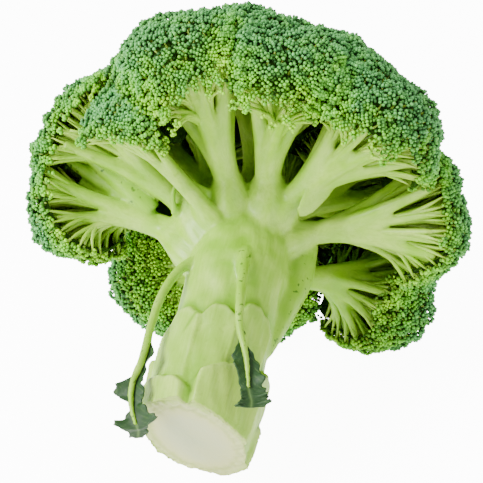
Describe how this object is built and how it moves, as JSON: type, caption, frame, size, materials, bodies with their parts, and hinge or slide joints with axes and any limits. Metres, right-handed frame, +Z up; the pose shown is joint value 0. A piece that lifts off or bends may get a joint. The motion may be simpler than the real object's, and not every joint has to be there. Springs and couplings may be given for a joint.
{
  "type": "broccoli head",
  "caption": "Cut head of broccoli lying on its side: a thick pale stalk that branches into domed green bud heads, with two small leaves on the stem.",
  "frame": {"origin": "on the surface that the head lies on, under the centre of its bounding box", "axes": "+Z up; -Y the way the stem's cut end points, +Y the way the crown points; +X to the right as seen from the cut end"},
  "size_m": [0.1609, 0.1685, 0.1411],
  "materials": {
    "stalk_green": null,
    "bud_green": null,
    "leaf_green": null
  },
  "bodies": {
    "root": {"stalk": "stalk_green", "leaf_left": "leaf_green", "leaf_front": "leaf_green", "head_front": "bud_green", "head_front_left": "bud_green", "head_front_right": "bud_green", "head_left_upper": "bud_green", "head_left_lower": "bud_green", "head_left_small": "bud_green", "head_right": "bud_green", "head_back_left": "bud_green", "head_back_right": "bud_green", "head_back": "bud_green", "head_top": "bud_green", "head_top_left": "bud_green", "head_top_right": "bud_green", "head_top_back": "bud_green"}
  },
  "joints": []
}
